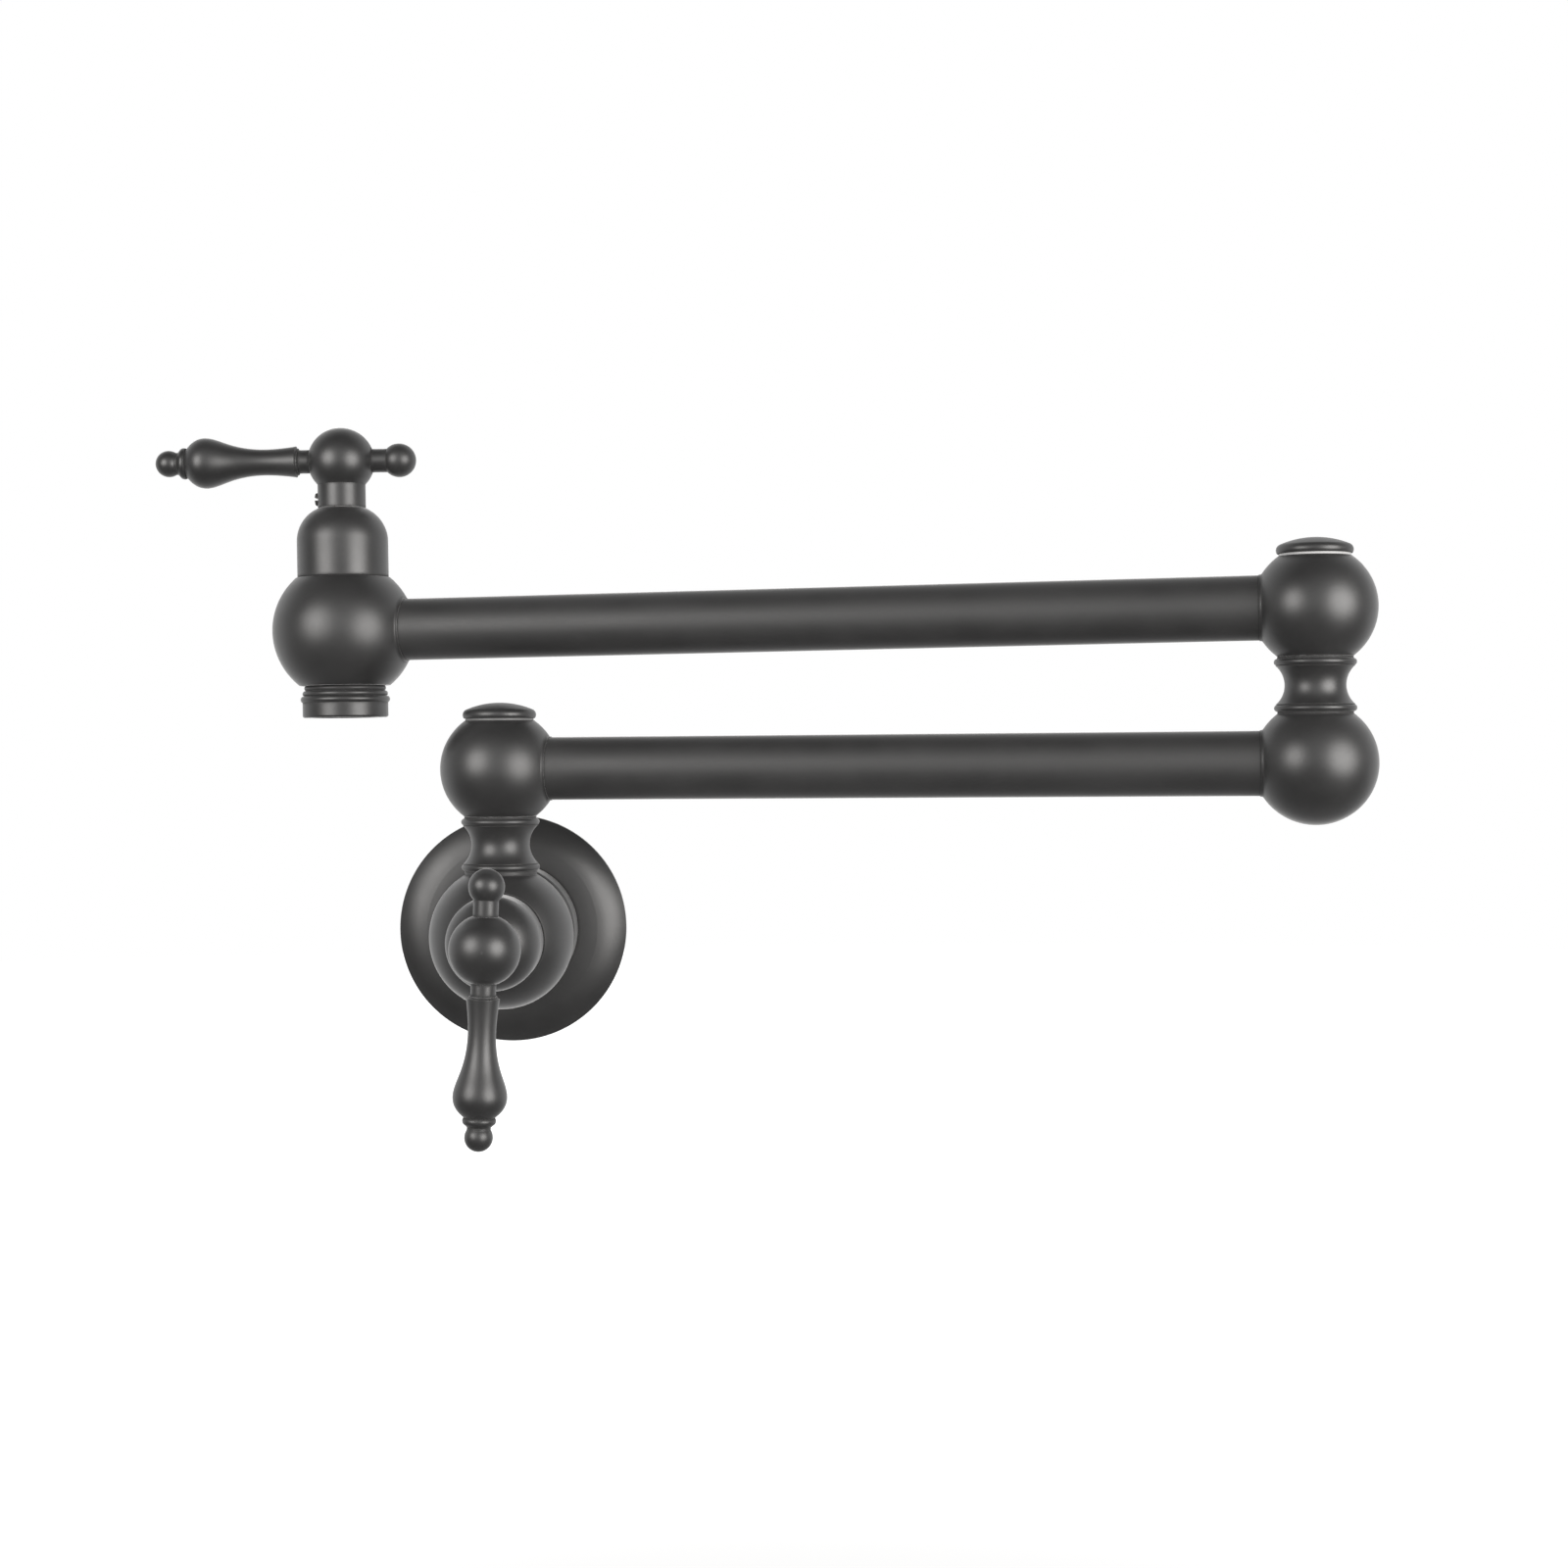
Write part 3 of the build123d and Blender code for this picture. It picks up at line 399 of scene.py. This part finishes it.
class FaucetInlet(bpy.types.PropertyGroup):
    """The inlet shank, whose pipe thread shows from behind."""

    root_radius: FloatProperty(
        name="Thread root", description="Radius at the bottom of the half-inch pipe thread's grooves",
        unit="LENGTH", default=0.01048)
    pitch: FloatProperty(
        name="Thread pitch", description="Distance from one ridge of the thread to the next",
        unit="LENGTH", default=0.001814)
    flank_angle: FloatProperty(
        name="Thread angle", description="Angle between the two flanks of a ridge",
        subtype="ANGLE", default=math.radians(55))
    crest_width: FloatProperty(
        name="Crest width", description="Width of the flat on top of a ridge",
        unit="LENGTH", default=0.0003)
    mouth_chamfer: FloatProperty(
        name="Mouth chamfer", description="Size of the chamfers at the mouth and round the ends",
        unit="LENGTH", default=0.0006)
    port_radius: FloatProperty(
        name="Water port", description="Radius of the waterway behind the thread",
        unit="LENGTH", default=0.0055)
    spigot_radius: FloatProperty(
        name="Spigot radius", description="Radius of the end that goes into the wall valve",
        unit="LENGTH", default=0.0104)
    spigot_length: FloatProperty(
        name="Spigot length", description="Length of the end that goes into the wall valve",
        unit="LENGTH", default=0.0095)
    steps: IntProperty(
        name="Steps", description="Flats in one turn of the shank and its thread",
        min=16, default=72)


class FaucetStage(bpy.types.PropertyGroup):
    """The camera, the soft lights and the floor."""

    camera_place: FloatVectorProperty(
        name="Camera place", description="Where the camera stands",
        subtype="TRANSLATION", unit="LENGTH", default=(0.078943, -0.9, 0.060295))
    camera_pitch: FloatProperty(
        name="Camera pitch", description="How far the camera looks down",
        subtype="ANGLE", default=math.radians(0.806))
    camera_yaw: FloatProperty(
        name="Camera yaw", description="How far the camera is turned to the right",
        subtype="ANGLE", default=math.radians(0.804))
    camera_roll: FloatProperty(
        name="Camera roll", description="How far the camera is rolled",
        subtype="ANGLE", default=math.radians(-0.473))
    camera_lens: FloatProperty(
        name="Camera lens", description="Focal length of the lens in millimetres",
        default=61.18)
    camera_sensor: FloatProperty(
        name="Camera sensor", description="Width of the sensor in millimetres",
        default=36.0)
    camera_near: FloatProperty(
        name="Camera near limit", description="Distance from which the camera sees things",
        unit="LENGTH", default=0.01)
    right_place: FloatVectorProperty(
        name="Right lamp place", description="Where the right soft lamp stands",
        subtype="TRANSLATION", unit="LENGTH", default=(0.98, -1.02, 0.22))
    right_size: FloatProperty(
        name="Right lamp size", description="Width of the right soft lamp",
        unit="LENGTH", default=1.05)
    right_power: FloatProperty(
        name="Right lamp power", description="Power of the right soft lamp",
        unit="POWER", default=17.0)
    left_place: FloatVectorProperty(
        name="Left lamp place", description="Where the left soft lamp stands",
        subtype="TRANSLATION", unit="LENGTH", default=(-0.55, -0.70, 0.27))
    left_size: FloatProperty(
        name="Left lamp size", description="Width of the left soft lamp",
        unit="LENGTH", default=0.58)
    left_power: FloatProperty(
        name="Left lamp power", description="Power of the left soft lamp",
        unit="POWER", default=4.9)
    lamp_colour: FloatVectorProperty(
        name="Lamp colour", description="Colour of the front lamps' light",
        subtype="COLOR", min=0.0, max=1.0, default=(1.0, 0.980, 0.960))
    back_place: FloatVectorProperty(
        name="Back lamp place", description="Where the right one of the two lamps behind the faucet stands",
        subtype="TRANSLATION", unit="LENGTH", default=(1.0, 1.0, 0.85))
    back_size: FloatProperty(
        name="Back lamp size", description="Width of each lamp behind the faucet",
        unit="LENGTH", default=0.9)
    back_power: FloatProperty(
        name="Back lamp power", description="Power of each lamp behind the faucet",
        unit="POWER", default=6.0)
    front_level: FloatProperty(
        name="Front level", description="Brightness of the room in front, as gloss shows it",
        subtype="FACTOR", min=0.0, max=1.0, default=0.09)
    front_glow: FloatProperty(
        name="Front glow", description="Brightness of the soft light round the camera, as gloss shows it",
        subtype="FACTOR", min=0.0, max=1.0, default=0.50)
    glow_lift: FloatProperty(
        name="Glow lift", description="How far the soft light round the camera leans upwards",
        subtype="FACTOR", min=0.0, max=1.0, default=0.20)
    side_glow: FloatProperty(
        name="Side glow", description="How far round to the sides the white behind the faucet reaches",
        subtype="FACTOR", min=0.0, max=1.0, default=0.35)
    floor_dim: FloatProperty(
        name="Floor dim end",
        description="How far behind the wall face the floor is white, as gloss shows it",
        unit="LENGTH", default=0.8)
    floor_dim_start: FloatProperty(
        name="Floor dim start",
        description="How far behind the wall face the floor starts to whiten, as gloss shows it",
        unit="LENGTH", default=-0.3)
    fill_level: FloatProperty(
        name="Fill level", description="Brightness of the room's light",
        subtype="FACTOR", min=0.0, max=1.0, default=0.25)
    floor_drop: FloatProperty(
        name="Floor drop", description="How far the floor lies below the wall valve",
        unit="LENGTH", default=0.30)
    floor_glow: FloatProperty(
        name="Floor glow", description="How brightly the floor is lit up to white",
        min=0.0, default=1.35)
    floor_fade: FloatProperty(
        name="Floor fade", description="How much of the floor under the faucet is lit up",
        subtype="FACTOR", min=0.0, max=1.0, default=0.45)
    floor_colour: FloatVectorProperty(
        name="Floor colour", description="Colour of the pale floor",
        subtype="COLOR", min=0.0, max=1.0, default=(0.82, 0.82, 0.82))


class FAUCET_OT_coat_balls(bpy.types.Operator):
    """Coat the swivel balls, the valve balls and their bonnets"""

    bl_idname = "faucet.coat_balls"
    bl_label = "Balls and bonnets"

    def execute(self, context):
        coat(BALLS_AND_BONNETS, dark_satin("satin_cast_balls", context.scene.faucet_finishes))
        return {"FINISHED"}


class FAUCET_OT_coat_spools(bpy.types.Operator):
    """Coat the turned spools and the swivel caps"""

    bl_idname = "faucet.coat_spools"
    bl_label = "Spools and caps"

    def execute(self, context):
        sizes = context.scene.faucet_finishes
        coat(SPOOLS, dark_satin("satin_turned_spools", sizes))
        coat(SWIVEL_CAPS, dark_satin("satin_turned_caps", sizes, dust=sizes.cap_dust))
        return {"FINISHED"}


class FAUCET_OT_coat_wall_plate(bpy.types.Operator):
    """Coat the wall flange and its sleeve"""

    bl_idname = "faucet.coat_wall_plate"
    bl_label = "Wall flange"

    def execute(self, context):
        coat(WALL_PLATE, dark_satin("satin_wall_plate", context.scene.faucet_finishes))
        return {"FINISHED"}


class FAUCET_OT_coat_arms(bpy.types.Operator):
    """Coat the arm tubes, whose grain is drawn along them"""

    bl_idname = "faucet.coat_arms"
    bl_label = "Arm tubes"

    def execute(self, context):
        sizes = context.scene.faucet_finishes
        coat(ARM_TUBES, dark_satin(
            "satin_drawn_tubes", sizes, TUBE_GRAIN_STRETCH, TUBE_LEAN, dulling=sizes.tube_dulling
        ))
        return {"FINISHED"}


class FAUCET_OT_coat_spout(bpy.types.Operator):
    """Coat the outlet collar and the aerator sleeve"""

    bl_idname = "faucet.coat_spout"
    bl_label = "Outlet collar and aerator"

    def execute(self, context):
        coat(SPOUT, dark_satin("satin_turned_spout", context.scene.faucet_finishes))
        return {"FINISHED"}


class FAUCET_OT_coat_handles(bpy.types.Operator):
    """Coat the lever handles and their grub screws"""

    bl_idname = "faucet.coat_handles"
    bl_label = "Handles"

    def execute(self, context):
        sizes = context.scene.faucet_finishes
        coat(HANDLES, dark_satin("satin_handles", sizes))
        # The screws are painted lighter all over, partly as wear and partly as a painted highlight.
        coat(GRUB_SCREWS, dark_satin("satin_screws", sizes, worn=sizes.screw_wear_and_highlight))
        return {"FINISHED"}


class FAUCET_OT_finish_inside(bpy.types.Operator):
    """Finish the brass, steel, rubber, ceramic and plastic pieces, most of them inside"""

    bl_idname = "faucet.finish_inside"
    bl_label = "Pieces inside"

    def execute(self, context):
        sizes = context.scene.faucet_finishes
        coat(BRASS_WORK, cut_brass("machined_brass", sizes))
        coat(STEEL_WORK, bare_metal("plain_steel", *STEEL, sizes))
        coat(RUBBER_SEALS, plain_matter("seal_rubber", *RUBBER, sizes))
        coat(CERAMIC_DISCS, plain_matter("lapped_ceramic", *CERAMIC, sizes))
        # The same nylon in two tones: the shoulder's washer is darker as painted shade, and the elbow's is
        # paler as painted light.
        coat(SHADE_PAINTED_WASHERS, plain_matter("nylon_painted_shade", *NYLON_WITH_PAINTED_SHADE, sizes))
        coat(LIGHT_PAINTED_WASHERS, plain_matter("nylon_painted_light", *NYLON_WITH_PAINTED_LIGHT, sizes))
        coat(PLASTIC_PIECES, plain_matter("moulded_plastic", *PLASTIC, sizes))
        return {"FINISHED"}


def outline(shape, points):
    """A closed outline of (radius, depth) points, drawn to the right of the inlet's axis."""
    corners = [shape.verts.new((radius, -depth, 0.0)) for radius, depth in points]
    return corners + [shape.edges.new(pair) for pair in zip(corners, corners[1:] + corners[:1])]


def turn_shank(shape, sizes, shank_radius, shank_length, thread_depth):
    """The shank's body: a bore at the thread's root, a water port, a spigot and chamfered ends."""
    chamfer = sizes.mouth_chamfer
    shoulder = shank_length - sizes.spigot_length
    section = outline(shape, (
        (sizes.root_radius + chamfer, 0.0),
        (sizes.root_radius, chamfer),
        (sizes.root_radius, thread_depth),
        (sizes.port_radius, thread_depth),
        (sizes.port_radius, shank_length),
        (sizes.spigot_radius - chamfer, shank_length),
        (sizes.spigot_radius, shank_length - chamfer),
        (sizes.spigot_radius, shoulder),
        (shank_radius, shoulder),
        (shank_radius, 0.0),
    ))
    bmesh.ops.spin(
        shape, geom=section, axis=(0.0, -1.0, 0.0), angle=math.tau, steps=sizes.steps, use_merge=True
    )


def cut_thread(shape, sizes, crest_radius, thread_depth):
    """The thread's ridge, a right-handed helix whose foot is sunk a little into the bore."""
    sink = 0.1 * sizes.mouth_chamfer
    foot = sizes.root_radius + sink
    crest_half = sizes.crest_width / 2
    foot_half = crest_half + (foot - crest_radius) * math.tan(sizes.flank_angle / 2)
    start = sizes.mouth_chamfer + foot_half
    turns = (thread_depth - start - foot_half) / sizes.pitch
    section = outline(shape, (
        (foot, start - foot_half),
        (crest_radius, start - crest_half),
        (crest_radius, start + crest_half),
        (foot, start + foot_half),
    ))
    ends = [part for part in section if isinstance(part, bmesh.types.BMEdge)]
    spun = bmesh.ops.spin(
        shape, geom=section, axis=(0.0, -1.0, 0.0), dvec=(0.0, -sizes.pitch / sizes.steps, 0.0),
        angle=math.tau * int(turns), steps=sizes.steps * int(turns)
    )
    last = [part for part in spun["geom_last"] if isinstance(part, bmesh.types.BMEdge)]
    for rim in (ends, last):
        bmesh.ops.contextual_create(shape, geom=rim)


class FAUCET_OT_inlet_shank(bpy.types.Operator):
    """Make the inlet shank with its half-inch pipe thread"""

    bl_idname = "faucet.inlet_shank"
    bl_label = "Threaded inlet"

    def execute(self, context):
        sizes = context.scene.faucet_inlet
        mount = next((m for m in frame["record"]["mounts"] if m["name"] == "inlet_thread"), None)
        if mount is None:
            raise RuntimeError("the record has no mount named inlet_thread")
        crest_radius = mount["dims"]["r_mm"] / 1000
        thread_depth = mount["dims"]["length_mm"] / 1000
        low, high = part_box("inlet_shank")
        shape = bmesh.new()
        turn_shank(shape, sizes, high.x, high.y - low.y, thread_depth)
        cut_thread(shape, sizes, crest_radius, thread_depth)
        bmesh.ops.recalc_face_normals(shape, faces=shape.faces)
        for face in shape.faces:
            face.smooth = True
        mesh = bpy.data.meshes.new("threaded_inlet_shank")
        shape.to_mesh(mesh)
        shape.free()
        mesh.set_sharp_from_angle(angle=math.radians(30))
        mesh.materials.append(cut_brass("threaded_brass", context.scene.faucet_finishes))
        piece = bpy.data.objects.new("threaded_inlet_shank", mesh)
        context.scene.collection.objects.link(piece)
        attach(piece, "wall_valve")
        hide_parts("inlet_shank")
        return {"FINISHED"}


def ray_kinds(start):
    """Two masks: where the camera looks straight at a thing, and where gloss or glass shows it."""
    seen = start.node("ShaderNodeLightPath", output="Is Camera Ray")
    mirrored = start.node("ShaderNodeLightPath", output="Is Glossy Ray")
    return seen, mirrored + start.node("ShaderNodeLightPath", output="Is Transmission Ray")


def soft_lamp(name, place, size, power, colour=WHITE, glossy=True):
    """A round soft lamp that faces the faucet's middle."""
    lamp = bpy.data.lights.new(name, "AREA")
    lamp.shape = "DISK"
    lamp.size = size
    lamp.energy = power
    lamp.color = colour
    holder = bpy.data.objects.new(name, lamp)
    low, high = CAD_BOX
    holder.location = place
    holder.rotation_mode = "QUATERNION"
    holder.rotation_quaternion = ((low + high) / 2 - place).to_track_quat("-Z", "Y")
    holder.visible_camera = False
    holder.visible_glossy = glossy
    bpy.context.scene.collection.objects.link(holder)


def white_room(sizes):
    """A world that the camera sees as white, and gloss sees as white behind and dim in front."""
    world = bpy.data.worlds.new("white_room")
    world.use_nodes = True
    world.node_tree.nodes.clear()
    world.cycles.sampling_method = "NONE"
    start = Wire(world.node_tree)
    seen, mirrored = ray_kinds(start)
    direction = start.node("ShaderNodeTexCoord", output="Generated")
    side, depth, height = (
        start.node("ShaderNodeSeparateXYZ", None, {"Vector": direction}, axis) for axis in "XYZ"
    )
    sideways = side.maths("ABSOLUTE", side)
    white = depth + sizes.side_glow * sideways
    ahead = sizes.glow_lift * height - depth
    room = white.steps(*WHITE_SPREAD, sizes.front_level, 1.0)
    room += ahead.steps(*GLOW_SPREAD, 0.0, sizes.front_glow)
    strength = seen + mirrored * room + (1.0 - seen - mirrored) * sizes.fill_level
    light = start.node("ShaderNodeBackground", None, {"Color": rgba(WHITE), "Strength": strength})
    start.node("ShaderNodeOutputWorld", None, {"Surface": light})
    bpy.context.scene.world = world


def pale_floor(sizes):
    """A round pale floor, lit up to white so that only the faucet's shadow shows, and clear from below."""
    middle = (*FLOOR_MIDDLE, -sizes.floor_drop)
    mesh = bpy.data.meshes.new("floor")
    shape = bmesh.new()
    bmesh.ops.create_circle(shape, cap_ends=True, segments=64, radius=FLOOR_RADIUS)
    bmesh.ops.translate(shape, verts=shape.verts, vec=middle)
    shape.to_mesh(mesh)
    shape.free()
    floor = bpy.data.objects.new("floor", mesh)
    bpy.context.scene.collection.objects.link(floor)
    material, start = new_finish("pale_floor")
    place = object_place(start)
    away = start.node("ShaderNodeVectorMath", {"operation": "DISTANCE"}, {0: place, 1: middle}, "Value")
    under = start.node("ShaderNodeNewGeometry", output="Backfacing")
    depth = start.node("ShaderNodeSeparateXYZ", None, {"Vector": place}, "Y")
    seen, mirrored = ray_kinds(start)
    room = depth.steps(sizes.floor_dim_start, sizes.floor_dim, sizes.front_level, 1.0)
    glow = start.node("ShaderNodeEmission", None, {"Color": seen * sizes.floor_glow + mirrored * room})
    matt = start.node("ShaderNodeBsdfDiffuse", None, {"Color": rgba(sizes.floor_colour)})
    shown = seen * away.steps(*SHADOW_FADE, sizes.floor_fade, 1.0) + mirrored
    top = start.node("ShaderNodeMixShader", None, {0: shown, 1: matt, 2: glow})
    clear = start.node("ShaderNodeBsdfTransparent")
    finish_off(start, material, start.node("ShaderNodeMixShader", None, {0: under, 1: top, 2: clear}))
    material.cycles.emission_sampling = "NONE"
    mesh.materials.append(material)


def photo_camera(sizes):
    """The camera at the photograph's angle."""
    camera = bpy.data.cameras.new("camera")
    camera.sensor_width = sizes.camera_sensor
    camera.lens = sizes.camera_lens
    camera.clip_start = sizes.camera_near
    holder = bpy.data.objects.new("camera", camera)
    pitch, yaw, roll = sizes.camera_pitch, sizes.camera_yaw, sizes.camera_roll
    ahead = Vector((math.sin(yaw) * math.cos(pitch), math.cos(yaw) * math.cos(pitch), -math.sin(pitch)))
    side = Vector((math.cos(yaw), -math.sin(yaw), 0.0))
    above = Vector((math.sin(yaw) * math.sin(pitch), math.cos(yaw) * math.sin(pitch), math.cos(pitch)))
    right = math.cos(roll) * side + math.sin(roll) * above
    up = -math.sin(roll) * side + math.cos(roll) * above
    turned = Matrix((right, up, -ahead)).transposed().to_4x4()
    holder.matrix_world = Matrix.Translation(sizes.camera_place) @ turned
    bpy.context.scene.collection.objects.link(holder)
    bpy.context.scene.camera = holder


class FAUCET_OT_stage(bpy.types.Operator):
    """Set up the white room, the pale floor, the soft lamps and the camera"""

    bl_idname = "faucet.stage"
    bl_label = "Studio stage"

    def execute(self, context):
        sizes = context.scene.faucet_stage
        white_room(sizes)
        pale_floor(sizes)
        warm = sizes.lamp_colour
        soft_lamp("right_lamp", Vector(sizes.right_place), sizes.right_size, sizes.right_power, warm)
        soft_lamp("left_lamp", Vector(sizes.left_place), sizes.left_size, sizes.left_power, warm)
        for name, side in (("back_right_lamp", 1), ("back_left_lamp", -1)):
            place = Vector(sizes.back_place) * Vector((side, 1, 1))
            soft_lamp(name, place, sizes.back_size, sizes.back_power, glossy=False)
        photo_camera(sizes)
        context.scene.view_settings.view_transform = "Standard"
        return {"FINISHED"}


class FAUCET_PT_sidebar(bpy.types.Panel):
    """Lists the faucet's pieces and its studio"""

    bl_idname = "FAUCET_PT_sidebar"
    bl_label = "Folding wall faucet"
    bl_space_type = "VIEW_3D"
    bl_region_type = "UI"
    bl_category = "Faucet"

    def draw(self, context):
        for operator in OPERATORS:
            self.layout.operator(operator.bl_idname)


OPERATORS = (
    FAUCET_OT_coat_balls,
    FAUCET_OT_coat_spools,
    FAUCET_OT_coat_wall_plate,
    FAUCET_OT_coat_arms,
    FAUCET_OT_coat_spout,
    FAUCET_OT_coat_handles,
    FAUCET_OT_finish_inside,
    FAUCET_OT_inlet_shank,
    FAUCET_OT_stage,
)
GROUPS = (FaucetFinishes, FaucetInlet, FaucetStage)


def register():
    for kind in (*GROUPS, *OPERATORS, FAUCET_PT_sidebar):
        bpy.utils.register_class(kind)
    bpy.types.Scene.faucet_finishes = PointerProperty(type=FaucetFinishes)
    bpy.types.Scene.faucet_inlet = PointerProperty(type=FaucetInlet)
    bpy.types.Scene.faucet_stage = PointerProperty(type=FaucetStage)


def unregister():
    del bpy.types.Scene.faucet_stage
    del bpy.types.Scene.faucet_inlet
    del bpy.types.Scene.faucet_finishes
    for kind in reversed((*GROUPS, *OPERATORS, FAUCET_PT_sidebar)):
        bpy.utils.unregister_class(kind)


def main():
    register()
    for operator in OPERATORS:
        group, name = operator.bl_idname.split(".")
        getattr(getattr(bpy.ops, group), name)()


if __name__ == "__main__":
    main()
